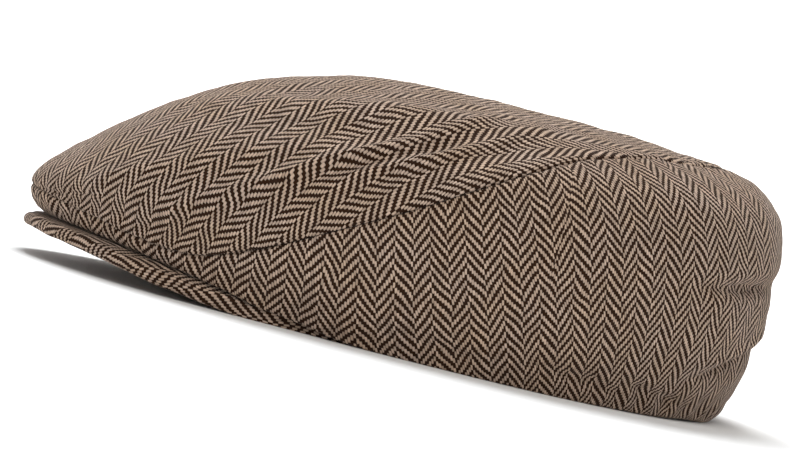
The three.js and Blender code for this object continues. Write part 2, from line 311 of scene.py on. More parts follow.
def towards_front(angle, none, full):
    """Grows from 0 at one angle each side of the front to 1 at a smaller one."""
    return smoothstep(-np.abs(angle), -math.radians(none), -math.radians(full))


def peak_thickness(angle):
    """Full over most of the peak, and thinner towards its ends."""
    return mix(PEAK_END_THICKNESS, PEAK_THICKNESS, towards_front(angle, *THICKNESS_TURN))


def peak_underside(plan):
    """An arch across, one less the cube of the share of its half width, rising to the back."""
    across = 1 - np.abs(plan[..., 0] / PEAK_ARCH_HALF_WIDTH) ** 3
    tip = WIDEST_Y - CROWN_RINGS[0, 2] - PEAK_MARGIN
    return np.maximum(across, 0) * (PEAK_ARCH + PEAK_PITCH * (plan[..., 1] - tip))


def crown_edge(angle):
    """Height of the crown's lower edge, which passes over the peak at the front."""
    _, side, front, back = CROWN_RINGS[0, :4]
    plan = ring_point(angle, side - CLOTH, front - CLOTH, back)
    over = towards_front(angle, *EDGE_TURN)
    return over * (peak_underside(plan) + peak_thickness(angle) + GAP)


# ---- the crown's surface ---------------------------------------------------------------


def seam_at(angle):
    """How far up the top seam lies, the same on both sides."""
    return columns(TOP_SEAM, np.degrees(np.abs(angle)))[0]


def crown_smooth(angle, at):
    """Rings of two ellipse quarters each, whose reach and height follow the table."""
    side, front, back, side_up, front_up, back_up = columns(CROWN_RINGS, at)
    forward = np.cos(angle)
    up = mix(side_up, np.where(forward > 0, front_up, back_up), forward ** 2)
    height = up + crown_edge(angle) * (1 - at) ** 2
    return np.concatenate([ring_point(angle, side, front, back), height[..., None]], -1)


def crown_directions(angle, at):
    """How the surface moves with the angle (per radian) and with the place up the crown."""
    step = 0.002
    around = (crown_smooth(angle + step, at) - crown_smooth(angle - step, at)) / (2 * step)
    low, high = np.maximum(at - step, 0), np.minimum(at + step, 1)
    rise = (crown_smooth(angle, high) - crown_smooth(angle, low)) / (high - low)[..., None]
    return around, rise


def climb_rate(angle, at):
    """How many millimetres the surface climbs for a step of 1 in the place up the crown."""
    return np.linalg.norm(crown_directions(angle, at)[1], axis=-1)


def crown_normal(angle, at):
    """Square to the surface, but level at the lower edge and upright at the top."""
    near_top, near_edge = 0.998, 0.08
    normal = np.cross(*crown_directions(angle, at))
    normal[at > near_top] = (0, 0, 1)
    normal = unit(normal)
    normal[..., 2] *= smoothstep(at, 0, near_edge)
    return unit(normal)


def fold_depth(table, angle, at):
    """A sum of bell-shaped dents and ridges, long along one direction."""
    turned = np.degrees(angle)[..., None]
    centre, place, spread, height, slant, depth = table.T
    along = np.mod(turned - centre + 180, 360) - 180
    across = (at[..., None] - place - slant * along) / height
    return np.sum(depth * np.exp(-(along / spread) ** 2 - across ** 2), -1)


def crown_fade(at):
    """1 over most of the crown, falling to 0 at its lower edge and in the middle of the top."""
    return smoothstep(at, *FOLDS_FROM) * smoothstep(1 - at, 0, FOLDS_END)


TABLE_ANGLES = np.radians(np.linspace(-180, 180, 361))
TABLE_PLACES = np.linspace(0, 1, 101)
TABLE_POINTS = crown_smooth(*np.meshgrid(TABLE_ANGLES, TABLE_PLACES, indexing="ij"))
LENGTH_AROUND = running_length(TABLE_POINTS, 0)
LENGTH_UP = running_length(TABLE_POINTS, 1)


def look_up(table, angle, at):
    """Reads a table of the crown between its angles and places, in straight lines."""
    i = (angle + np.pi) / (2 * np.pi) * (len(TABLE_ANGLES) - 1)
    j = at * (len(TABLE_PLACES) - 1)
    low_i = np.clip(np.floor(i).astype(int), 0, len(TABLE_ANGLES) - 2)
    low_j = np.clip(np.floor(j).astype(int), 0, len(TABLE_PLACES) - 2)
    i, j = i - low_i, j - low_j
    lower = mix(table[low_i, low_j], table[low_i + 1, low_j], i)
    upper = mix(table[low_i, low_j + 1], table[low_i + 1, low_j + 1], i)
    return mix(lower, upper, j)


def seam_length(angle):
    """The length along the top seam, from the back round the wearer's right."""
    places = seam_at(TABLE_ANGLES)
    lengths = running_length(crown_smooth(TABLE_ANGLES, places), 0)
    return np.interp(angle, TABLE_ANGLES, lengths)


def above_seam(angle, at):
    """Distance above the top seam, square to it, in millimetres."""
    seam = seam_at(angle)
    around, rise = crown_directions(angle, seam)
    around, rise = np.linalg.norm(around, axis=-1), np.linalg.norm(rise, axis=-1)
    step = 0.01
    climb = (seam_at(angle + step) - seam_at(angle - step)) / (2 * step) * rise / around
    return (at - seam) * rise / np.sqrt(1 + climb ** 2)


def seam_pucker(angle, away):
    """Small gathers where the thread pulls the cloth in: uneven waves along the top seam
    that fade away from it."""
    length = seam_length(angle)
    sway = 0.9 * np.sin(length / 17) + 0.6 * np.sin(length / 7.3 + 1)
    return np.sin(2 * np.pi * length / PUCKER_LENGTH + sway) * bell(away, PUCKER_REACH)


def sewn_line(away, depth, width, height, place, spread):
    """A bell-shaped dip along a line of stitches, and another bell, the swell beside it."""
    return height * bell(away - place, spread) - depth * bell(away, width)


def dart_relief(angle, at):
    """The sewn line of a dart, times the square root of the share of the way up from the
    dart's point to the seam."""
    reach = np.maximum(seam_at(angle) - DART_POINT, SHORTEST_DART)
    opened = np.clip((at - DART_POINT) / reach, 0, 1)
    opened = opened * smoothstep(np.degrees(np.abs(angle)), *DART_FADE)
    around, _ = crown_directions(angle, at)
    away = (np.abs(angle) - math.radians(DART_ANGLE)) * np.linalg.norm(around, axis=-1)
    return opened ** 0.5 * sewn_line(np.abs(away), *DART_LINE)


def edge_gathers(angle, at):
    """Slanting, uneven waves along the turned edge, higher at the rear. They start at the
    edge and fade above it."""
    rear = smoothstep(np.degrees(np.abs(angle)), *REAR)
    rim = look_up(LENGTH_AROUND, angle, np.zeros_like(at))
    height = look_up(LENGTH_UP, angle, at)
    sway = 1.2 * np.sin(rim / 23) + 0.8 * np.sin(rim / 9.1)
    waves = np.sin(2 * np.pi * rim / GATHER_LENGTH + height / 5 + sway)
    near = bell(height - 4, 5) * smoothstep(height, 0.3, 3)
    return mix(FRONT_GATHERS, REAR_GATHERS, rear) * waves * near


def crown_relief(angle, at, look, side_panel):
    """What the cloth adds to the smooth crown, outward: folds, waves and sewn lines."""
    points = crown_smooth(angle, at)
    seam_depth, pucker = look.seam_depth / MM, look.pucker / MM
    relief = (fold_depth(FOLDS, angle, at) + fold_depth(CREASES, angle, at)) * crown_fade(at)
    waves = look.drape / MM * ripple(points, *DRAPE_WAVES)
    waves = waves + look.cockle / MM * ripple(points, *COCKLE_WAVES)
    relief = relief + waves * smoothstep(at, *WAVES_FROM)
    away = above_seam(angle, at)
    relief = relief + pucker * seam_pucker(angle, away)
    if not side_panel:
        puffed = bell(np.degrees(np.abs(angle)) - PUFF_ANGLE, PUFF_SPREAD)
        swell = mix(*TOP_SWELL_HEIGHTS, puffed)
        return relief + sewn_line(away, seam_depth, TOP_DIP_WIDTH, swell, *TOP_SWELL)
    relief = relief - seam_depth * bell(away, SIDE_DIP_WIDTH)
    relief = relief + sewn_line(np.abs(points[..., 0]), *MIDDLE_SEAM)
    return relief + dart_relief(angle, at) + pucker * edge_gathers(angle, at)


def edge_roll(distance, radius):
    """How far in a round edge lies, at a distance from its rim: a quarter circle."""
    inside = np.clip(radius - distance, 0, radius)
    return radius - np.sqrt(radius ** 2 - inside ** 2)


def hem_lift(angle):
    """The turned edge lifts a little off the surface here and there."""
    wave = np.sin(3.1 * angle + 0.6) + 0.6 * np.sin(7.3 * angle + 2) + 0.4 * np.sin(13 * angle)
    return HEM_LIFT * np.maximum(wave, 0) * (1 - towards_front(angle, *FLAT_HEM_TURN))


def way_left(at):
    """What is left of the way to the middle of the top, in steps that are about as long as
    each other: the share left, to one over the crowding."""
    return np.maximum(1 - at, 0) ** (1 / MIDDLE_CROWDING)


def place_with(left):
    """The place up the crown that has so much of that way left."""
    return 1 - left ** MIDDLE_CROWDING


def crown_wall(angle, from_at, to_at, rows, side_panel):
    """Places up a panel's face. Rows lie close together at its rolled edges, and evenly
    between them or up to the middle of the top."""
    low = from_at[:, None] + EDGE_OFFSETS / climb_rate(angle, from_at)[:, None]
    if not side_panel:
        left = way_left(low[:, -1:]) * np.linspace(1, 0, rows + 2)[1:]
        return np.concatenate([low, place_with(left)], 1)
    high = to_at[:, None] - EDGE_OFFSETS[::-1] / climb_rate(angle, to_at)[:, None]
    between = mix(low[:, -1:], high[:, :1], np.linspace(0, 1, rows + 2)[1:-1])
    return np.concatenate([low, between, high], 1)


# ---- meshes ----------------------------------------------------------------------------


def end_strip(loop, points, outer):
    """Triangles that close the end of a shell, from side to side between its outer face,
    the first points of the loop, and its inner face. Each side is climbed at an even pace."""
    sides = loop[:outer], loop[:outer - 1:-1]
    climbs = [running_length(points[side], 0)[1:] for side in sides]
    climbs = np.concatenate([climb / climb[-1] for climb in climbs])
    order = np.argsort(climbs, kind="stable")
    on_outer = order < outer - 1
    high = np.cumsum(on_outer), np.cumsum(~on_outer)
    low = high[0] - on_outer, high[1] - ~on_outer
    step = np.where(on_outer, sides[0][high[0]], sides[1][high[1]])
    return np.stack([sides[0][low[0]], step, sides[1][low[1]]], -1)


def shell_mesh(name, points, weave, closed, poles=(), outer=0):
    """A closed shell from a grid: each station holds one loop of points, up the outer face
    and back down the inner one. A closed shell joins its last station to its first; an
    open one gets a face over each end, or a strip where its outer face's points are counted.
    A pole is a row that is one point. The weave may have two layers, for the faces after
    each station and for those before it."""
    index = np.arange(points.shape[0] * points.shape[1]).reshape(points.shape[:2])
    for row in poles:
        index[:, row] = index[0, row]
    nearer = index if closed else index[:-1]
    farther = np.roll(index, -1, 0) if closed else index[1:]
    quads = np.stack([
        nearer, farther, np.roll(farther, -1, 1), np.roll(nearer, -1, 1)
    ], -1).reshape(-1, 4)
    low_pole, high_pole = quads[:, 0] == quads[:, 1], quads[:, 2] == quads[:, 3]
    faces = [
        quads[~low_pole & ~high_pole],
        quads[high_pole & ~low_pole][:, :3],
        quads[low_pole & ~high_pole][:, 1:],
    ]
    layers = [(0, 1, 1, 0), (0, 1, 1), (1, 1, 0)]
    if not closed:
        ends = [index[:1], index[-1:]]
        if outer:
            ends = [end_strip(end[0], points.reshape(-1, 3), outer) for end in ends]
        faces += [ends[0], ends[1][:, ::-1]]
        layers += [(0,) * ends[0].shape[1], (1,) * ends[1].shape[1]]
    corners = np.concatenate([f.ravel() for f in faces])
    sizes = np.concatenate([np.full(len(f), f.shape[1]) for f in faces])
    layer = np.concatenate([np.tile(one, len(f)) for one, f in zip(layers, faces)])
    weave = np.broadcast_to(weave, (2,) + weave.shape[-3:]).reshape(2, -1, 2)[layer, corners]
    used, corners = np.unique(corners, return_inverse=True)
    return fill_mesh(name, points.reshape(-1, 3)[used], corners, sizes, weave)


def fill_mesh(name, points, corners, sizes, weave):
    """A mesh from points in millimetres, the corners of its faces one after another, each
    face's number of corners, and each corner's place in the weave."""
    mesh = bpy.data.meshes.new(name)
    mesh.vertices.add(len(points))
    mesh.vertices.foreach_set("co", (points * MM).astype(np.float32).ravel())
    mesh.loops.add(len(corners))
    mesh.loops.foreach_set("vertex_index", corners.astype(np.int32))
    mesh.polygons.add(len(sizes))
    starts = np.concatenate([[0], np.cumsum(sizes)[:-1]]).astype(np.int32)
    mesh.polygons.foreach_set("loop_start", starts)
    mesh.update(calc_edges=True)
    mesh.polygons.foreach_set("use_smooth", np.ones(len(sizes), bool))
    layer = mesh.uv_layers.new(name=WEAVE_MAP)
    layer.data.foreach_set("uv", weave.astype(np.float32).ravel())
    if mesh.validate():
        raise RuntimeError(f"{name}: its mesh has faces that can't be used")
    return mesh


def show(name, data):
    """A new object in the scene."""
    thing = bpy.data.objects.new(name, data)
    bpy.context.scene.collection.objects.link(thing)
    return thing


def add_cloth(node, grid, weave, material, slot, closed=False, **ends):
    """Shows a shell as the cloth that stands for one of the cap's solids and rides on it."""
    name = node + "_cloth"
    mesh = shell_mesh(name, grid, weave, closed, **ends)
    piece = show(name, mesh)
    mesh.materials.append(material)
    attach(piece, BODY)
    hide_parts(node)


# ---- the panels ------------------------------------------------------------------------


def place_on_crown(angle, at, shift, lift):
    """Moves the smooth crown along its normal, and lifts its lower edge."""
    points = crown_smooth(angle, at) + crown_normal(angle, at) * shift[..., None]
    points[..., 2] += lift * (1 - smoothstep(at, 0, LIFT_FADE))
    return points


def panel_face(angles, from_at, to_at, rows, radius, side_panel):
    """The angle and place of each point of a panel's face, and how far in its round edges
    lie: the lower one has the radius given, and a side panel's upper one a seam's."""
    at = crown_wall(angles, from_at, to_at, rows, side_panel)
    below = (at - from_at[:, None]) * climb_rate(angles, from_at)[:, None]
    roll = edge_roll(below, radius)
    if side_panel:
        above = (to_at[:, None] - at) * climb_rate(angles, to_at)[:, None]
        roll = roll + edge_roll(above, SEAM_RADIUS)
    return np.broadcast_to(angles[:, None], at.shape), at, roll


def panel_grid(angles, from_at, to_at, rows, look, side_panel):
    """The loops of one crown panel: the detailed outer face, then a plain inner face."""
    edges = angles, from_at, to_at
    radius, inner_rows, lift = SEAM_RADIUS, TOP_INNER_ROWS, 0
    if side_panel:
        radius, inner_rows, lift = HEM_RADIUS, SIDE_INNER_ROWS, hem_lift(angles)[:, None]
    angle, at, roll = panel_face(*edges, rows, radius, side_panel)
    outer = place_on_crown(angle, at, crown_relief(angle, at, look, side_panel) - roll, lift)
    inner_face = panel_face(*edges, inner_rows, INNER_RADIUS, side_panel)
    inner_angle, inner_at, roll = (part[:, ::-1] for part in inner_face)
    relief = fold_depth(FOLDS, inner_angle, inner_at) * crown_fade(inner_at)
    inner = place_on_crown(inner_angle, inner_at, relief - (CLOTH - roll), lift)
    grid = np.concatenate([outer, inner], 1)
    return grid, np.concatenate([angle, inner_angle], 1), np.concatenate([at, inner_at], 1)


def panel_net(angle, at, closed):
    """A net of triangles over a panel: the knots of each cell, and every knot's angle and
    place. A closed one ends in the middle of the top; an open one is cut along the dart,
    where the cells behind it have knots of their own."""
    knot = np.arange(at.size).reshape(at.shape)
    angle = np.broadcast_to(angle, at.shape)
    angles, places = angle.ravel(), at.ravel()
    if closed:
        knot[:, -1] = knot[0, -1]
        ahead = np.roll(knot, -1, 0)
    else:
        line = round(DART_ANGLE / 180 * SIDE_NET_AROUND)
        cut = at[line] > DART_POINT
        ahead, knot = knot[1:], knot[:-1].copy()
        knot[line, cut] = at.size + np.arange(cut.sum())
        angles = np.concatenate([angles, angle[line][cut]])
        places = np.concatenate([places, at[line][cut]])
    cells = np.stack([knot[:, :-1], ahead[:, :-1], ahead[:, 1:], knot[:, 1:]], -1)
    return cells, angles, places


def lay_flat(cells, angles, places, flat, lean=None):
    """Lays a net flat. Each round finds how far every triangle has turned, or takes that from
    the lean of its threads where it is given. Then it moves the knots so that the triangles,
    weighted by their areas, are as near as they can be to their own shapes turned that far."""
    solid = crown_smooth(angles, places)
    halves = cells[..., [0, 1, 3]], cells[..., 1:]
    corners = np.concatenate([half.reshape(-1, 3) for half in halves])
    corners = corners[corners[:, 1] != corners[:, 2]]
    slopes, area = corner_slopes(solid[corners])
    stiffness = np.zeros((len(solid), len(solid)))
    pulls = np.einsum("t,tik,til->tkl", area, slopes, slopes)
    np.add.at(stiffness, (corners[:, :, None], corners[:, None, :]), pulls)
    held = np.append(np.setdiff1d(np.arange(len(solid)), corners), cells[0, -1, 3])
    stiffness[held, held] += 1
    loosen = np.linalg.inv(stiffness)
    if lean is not None:
        middles = angles[corners].mean(1), places[corners].mean(1)
        shapes = leaning_shapes(solid[corners], *middles, lean)
    for _ in range(NET_ROUNDS if lean is None else 1):
        if lean is None:
            change = np.einsum("tki,tlk->til", flat[corners], slopes)
            sine, cosine = change[:, 1, 0] - change[:, 0, 1], change[:, 0, 0] + change[:, 1, 1]
            shapes = turned(np.arctan2(sine, cosine))
        sums = np.zeros((len(solid), 2))
        np.add.at(sums, corners, np.einsum("til,tlk,t->tki", shapes, slopes, area))
        flat = loosen @ sums
    return flat[cells]


def corner_slopes(corners):
    """How fast each corner's share falls away across a flat triangle, and the areas."""
    first, second = corners[:, 1] - corners[:, 0], corners[:, 2] - corners[:, 0]
    length = np.linalg.norm(first, axis=1)
    height = np.linalg.norm(np.cross(first, second), axis=1) / length
    along = (first * second).sum(1) / length
    none = 0 * length
    slopes = np.array([
        [-1 / length, 1 / length, none],
        [(along / length - 1) / height, -along / length / height, 1 / height],
    ])
    return slopes.transpose(2, 0, 1), length * height / 2


def turned(turn):
    """Turns by each angle, as tables of two by two."""
    rows = [[np.cos(turn), -np.sin(turn)], [np.sin(turn), np.cos(turn)]]
    return np.array(rows).transpose(2, 0, 1)


def leaning_shapes(corners, angle, at, grain):
    """Turns, and widens a little, each triangle so that its threads lean and crowd as the
    grain's table says, from the turn between its first side and the line round the cap."""
    lean, closeness = columns(grain, np.degrees(angle))
    first = unit(corners[:, 1] - corners[:, 0])
    normal = unit(np.cross(first, corners[:, 2] - corners[:, 0]))
    around, _ = crown_directions(angle, at)
    off = np.arctan2((around * np.cross(normal, first)).sum(1), (around * first).sum(1))
    shapes = turned(-off - np.radians(lean))
    shapes[:, 0] *= closeness[:, None]
    return shapes


def read_net(net, i, j, back):
    """Reads a net of cells between its knots; back, each place on a line between two cells
    takes the cell before it."""
    low_i = np.ceil(i).astype(int) - 1 if back else np.floor(i).astype(int)
    low_i = np.clip(low_i, 0, net.shape[0] - 1)
    low_j = np.clip(np.floor(j).astype(int), 0, net.shape[1] - 1)
    i, j = (i - low_i)[..., None], (j - low_j)[..., None]
    knots = net[low_i, low_j]
    lower = mix(knots[..., 0, :], knots[..., 1, :], i)
    return mix(lower, mix(knots[..., 3, :], knots[..., 2, :], i), j)


def side_weave(angle, at, side):
    """Where a place on a side panel lies in its cloth, in two layers that part at the dart."""
    turns = np.radians(np.linspace(0, 180, SIDE_NET_AROUND + 1))[:, None]
    rows = seam_at(turns) * np.linspace(0, 1, NET_UP + 1)
    net = lay_flat(*panel_net(turns, rows, False), None, SIDE_GRAIN)
    i = np.round(np.abs(angle) / np.pi * SIDE_NET_AROUND, 6)
    j = np.clip(at / seam_at(angle), 0, 1) * NET_UP
    return np.stack([read_net(net, i, j, back) for back in (side < 0, side > 0)])


def top_weave(angle, at):
    """Where a place on the top panel lies in its cloth. The net starts with each knot as far
    out as the cap is long there."""
    turns = np.radians(np.linspace(-180, 180, TOP_NET_AROUND + 1))[:-1, None]
    rows = place_with(way_left(seam_at(turns)) * np.linspace(1, 0, NET_UP + 1))
    points = crown_smooth(np.broadcast_to(turns, rows.shape), rows)
    climbed = running_length(points, 1)
    out = (climbed[:, -1:] - climbed)[..., None]
    way = np.arctan2(points[..., 0], WIDEST_Y - points[..., 1])
    start = out * np.stack([np.sin(way), -np.cos(way)], -1)
    net = lay_flat(*panel_net(turns, rows, True), start.reshape(-1, 2))
    i = (angle + np.pi) / (2 * np.pi) * TOP_NET_AROUND
    j = np.clip(1 - way_left(at) / way_left(seam_at(angle)), 0, 1) * NET_UP
    return turn_weave(read_net(net, i, j, False), TOP_GRAIN)


def turn_weave(weave, degrees):
    """Turns the threads of a piece that isn't cut on the straight grain."""
    way = math.radians(degrees)
    across = weave[..., 0] * math.cos(way) - weave[..., 1] * math.sin(way)
    along = weave[..., 0] * math.sin(way) + weave[..., 1] * math.cos(way)
    return np.stack([across, along], -1)


def make_side_panel(side, look):
    """From the seam at the middle of the front round to the one at the nape."""
    turns = np.linspace(0, np.pi, look.side_stations + 1)
    angles = turns if side > 0 else turns - np.pi
    seam = seam_at(angles)
    top = seam - SEAM_GAP / 2 / climb_rate(angles, seam)
    grid, angle, at = panel_grid(angles, np.zeros_like(top), top, look.side_rows, look, True)
    grid[..., 0] = side * np.maximum(side * grid[..., 0], GAP / 2)
    return grid, side_weave(angle, at, side), look.side_rows + 2 * len(EDGE_OFFSETS)


def make_top_panel(look):
    """Everything above the seam, closed round the cap."""
    angles = np.linspace(-np.pi, np.pi, look.top_stations + 1)[:-1]
    seam = seam_at(angles)
    edge = seam + SEAM_GAP / 2 / climb_rate(angles, seam)
    grid, angle, at = panel_grid(angles, edge, np.ones_like(edge), look.top_rows, look, False)
    outer = len(EDGE_OFFSETS) + look.top_rows + 1
    return grid, top_weave(angle, at), (outer - 1, outer)


# ---- the peak, the sweatband and the lining --------------------------------------------


def head_point(angle, out):
    """The head opening's outline, a distance outside the sweatband's inner face."""
    out = out - BAND
    return ring_point(angle, HEAD_SIDE + out, HEAD_FRONT + out, HEAD_SIDE + out)


def peak_ends(angle):
    """The peak's root and its edge in plan, at each angle."""
    side, front, back = CROWN_RINGS[0, 1:4]
    margin = mix(PEAK_END_MARGIN, PEAK_MARGIN, towards_front(angle, *MARGIN_TURN))
    return head_point(angle, BAND + GAP), ring_point(angle, side + margin, front + margin, back)


def peak_point(angle, share, drop):
    """A share of the way from the peak's root to its edge, and so far below its top."""
    root, edge = peak_ends(angle)
    plan = mix(root, edge, share[..., None])
    top = peak_underside(plan) + peak_thickness(angle)
    return np.concatenate([plan, (top - drop)[..., None]], -1)


PEAK_RUN = np.linspace(0, 1, 26)        # rows out from the root of the peak
PEAK_TURN = np.linspace(0, np.pi, 15)   # and round its edge


def upper_cover(rim, thickness, wall):
    """How far out, and how far down, the upper cover goes: out from its root, half round
    the edge, in by the lip, and back to the root inside."""
    run, radius = PEAK_RUN[:-1], thickness / 2
    lip = np.linspace(0, PEAK_LIP, 5)[1:]
    inside = np.linspace(1, 0, 7)
    around = rim + radius * np.sin(PEAK_TURN)
    out = run * rim, around, rim - lip, inside * (rim - PEAK_LIP)
    drop = 0 * run, radius * (1 - np.cos(PEAK_TURN)), thickness + 0 * lip, wall + 0 * inside
    return out, drop


def under_cover(rim, thickness, wall):
    """The same for the under cover: out inside the peak and back on its underside, to a
    round edge against the lip."""
    reach = rim - PEAK_LIP - GAP
    out = PEAK_RUN[::4] * reach, PEAK_RUN[::-1] * reach
    rounded = edge_roll((1 - PEAK_RUN[::-1]) * reach, UNDER_RADIUS)
    return out, (wall + GAP + 0 * PEAK_RUN[::4], thickness - rounded)


def peak_grid(look, upper):
    """The loops of one cover of the peak, from one end of the peak to the other, and where
    they lie in the cloth."""
    angle = np.radians(np.linspace(-PEAK_END, PEAK_END, look.peak_stations + 1))[:, None]
    root, edge = peak_ends(angle)
    width = np.linalg.norm(edge - root, axis=-1)
    thickness = peak_thickness(angle)
    cover = upper_cover if upper else under_cover
    parts = cover(width - thickness / 2, thickness, (thickness - GAP) / 2)
    out, drop = (np.concatenate([part + 0 * width for part in row], 1) for row in parts)
    points = peak_point(np.broadcast_to(angle, out.shape), out / width, drop)
    height = look.drape / MM * (UPPER_WAVES if upper else UNDER_WAVES)
    waves = height * ripple(points, *PEAK_WAVES)
    points[..., 2] += waves * smoothstep(out, *PEAK_WAVES_FROM)
    laid_flat = root + (edge - root) / width[..., None] * out[..., None]
    if upper:
        laid_flat = rolled_flat(root, edge, out, drop)
    return points[:, ::-1], laid_flat[:, ::-1] * (1, -1)


def rolled_flat(root, edge, out, drop):
    """The cover of an edge laid flat in plan: along the edge it stays where it is, and square
    to the edge it goes as far as it runs, down and round included."""
    along = unit(np.gradient(edge, axis=0))
    square = np.stack([along[..., 1], -along[..., 0]], -1)
    outward = unit(edge - root)
    square *= np.sign((outward * square).sum(-1, keepdims=True))
    steps = np.hypot(np.diff(out, axis=1) * (outward * square).sum(-1), np.diff(drop, axis=1))
    climbed = np.concatenate([np.zeros_like(out[:, :1]), np.cumsum(steps, axis=1)], 1)
    shift = out * (outward * along).sum(-1)
    return root + along * shift[..., None] + square * climbed[..., None]


def band_edges(angle):
    """Heights of the sweatband's lower and upper edges."""
    over = towards_front(angle, *BAND_TURN) * peak_underside(head_point(angle, BAND))
    low = BAND_TUCK + over
    return low, BAND_HEIGHT + mix(BAND_TUCK, low, 0.6)


def band_grid(look):
    """An upright strip round the head opening with rounded edges and slight waves inside."""
    angle = np.linspace(-np.pi, np.pi, look.band_stations + 1)[:-1, None]
    low, high = band_edges(angle)
    between = np.linspace(2 * BAND_RADIUS, BAND_HEIGHT - 2 * BAND_RADIUS, BAND_ROWS)
    climb = np.concatenate([BAND_OFFSETS, between, BAND_HEIGHT - BAND_OFFSETS[::-1]])
    height = mix(low, high, climb / BAND_HEIGHT)
    roll = edge_roll(climb, BAND_RADIUS) + edge_roll(BAND_HEIGHT - climb, BAND_RADIUS)
    full = np.broadcast_to(angle, height.shape)
    faces = [
        np.concatenate([head_point(full, out), z[..., None]], -1)
        for out, z in ((BAND - roll, height), (roll[::-1], height[:, ::-1]))
    ]
    grid = np.concatenate(faces, 1)
    place, last, start = np.arange(grid.shape[1]), grid.shape[1] - 1, len(climb) - 1
    inward = smoothstep(place, start, start + 3) * smoothstep(-place, -last, 4 - last)
    waves = BAND_WAVE_HEIGHT * (1 + ripple(grid, *BAND_WAVES) * inward)
    outward = unit(grid[..., :2] - (0, WIDEST_Y))
    grid[..., :2] += outward * waves[..., None] * inward[:, None]
    full = np.broadcast_to(angle, grid.shape[:2])
    around = look_up(LENGTH_AROUND, full, np.zeros(full.shape))
    return grid, np.stack([around, grid[..., 2]], -1)


def lining_grid(look):
    """A thin dome over the sweatband, with a pole at its top."""
    angle = np.linspace(-np.pi, np.pi, look.lining_stations + 1)[:-1, None]
    at = np.linspace(0, 1, 40)
    _, top = band_edges(angle)
    base = mix(top, BAND_HEIGHT + BAND_TUCK, at) + GAP
    full = np.broadcast_to(angle, base.shape)
    faces = []
    for depth in (0, LINING):
        side, front, back, up = columns(LINING_RINGS, at)
        shrink = 1 - depth / LINING_RINGS[0, 1]
        plan = ring_point(full, side * shrink, front * shrink, back * shrink)
        z = base + up - depth * at
        faces.append(np.concatenate([plan, z[..., None]], -1))
    grid = np.concatenate([faces[0], faces[1][:, ::-1]], 1)
    return grid, grid[..., :2].copy(), (len(at) - 1, len(at))


# ---- materials -------------------------------------------------------------------------

# Mottling by noise: its scale per millimetre, detail and roughness.
DRIFT = (0.09, 1)
STRAY = (0.8, 2)
FIBRES = (1.0, 2, 0.65)
STREAKS = (1.0, 1)
CLOUDS = (0.055, 3, 0.6)
BLUR = (0.5, 3, 0.6)
WEAR = (0.12, 3, 0.6)
FUZZ = (1.8, 3, 0.7)
LINING_WEAR = (0.05, 3, 0.6)
FIBRE_STRETCH = (3.2, 1.3, 1.0)     # across and along the warp
STREAK_STRETCH = (0.55, 0.06, 1.0)

# Brightness from least to most: of each light thread, of the weave from its hollows to its
# crests, which is painted shade, of the fibres, and of streaks along the warp.
THREAD_SHADES = (0.68, 1.04)
PAINTED_HOLLOW_SHADES = (0.50, 1.0)
FIBRE_SHADES = (0.84, 1.12)
STREAK_SHADES = (0.94, 1.05)
FUZZ_SHADES = (0.7, 1.35)

REPEAT = 4.0            # threads in a repeat of the twill
LIGHT_BEAD = (0.52, 0.53)           # half the width and length of a thread where it shows
DARK_BEAD = (0.56, 0.56)
DARK_HEIGHT = 0.5       # of a dark thread, where a light one is 1
UNDER_SOFTNESS = 0.35   # how far the two yarns blur together below the peak
LIT_FROM = 0.38         # height from which a light thread has its full colour
FIBRE_RELIEF = 0.25
RIB_SLANT = 1.7         # of the cotton's ribs
RIB_SPACING = 0.55
RIB_RELIEF = 0.00012    # metres
LINT_SCALE = 0.42       # cells per millimetre that may each hold a speck
LINT_EDGE = (0.10, 0.045)           # from outside a speck to inside it
LINT_CHOSEN = 0.55      # share of the cells without one
LINT_COVER = 0.75
LINING_SPACING = 0.4
LINING_RELIEF = 0.00004     # metres


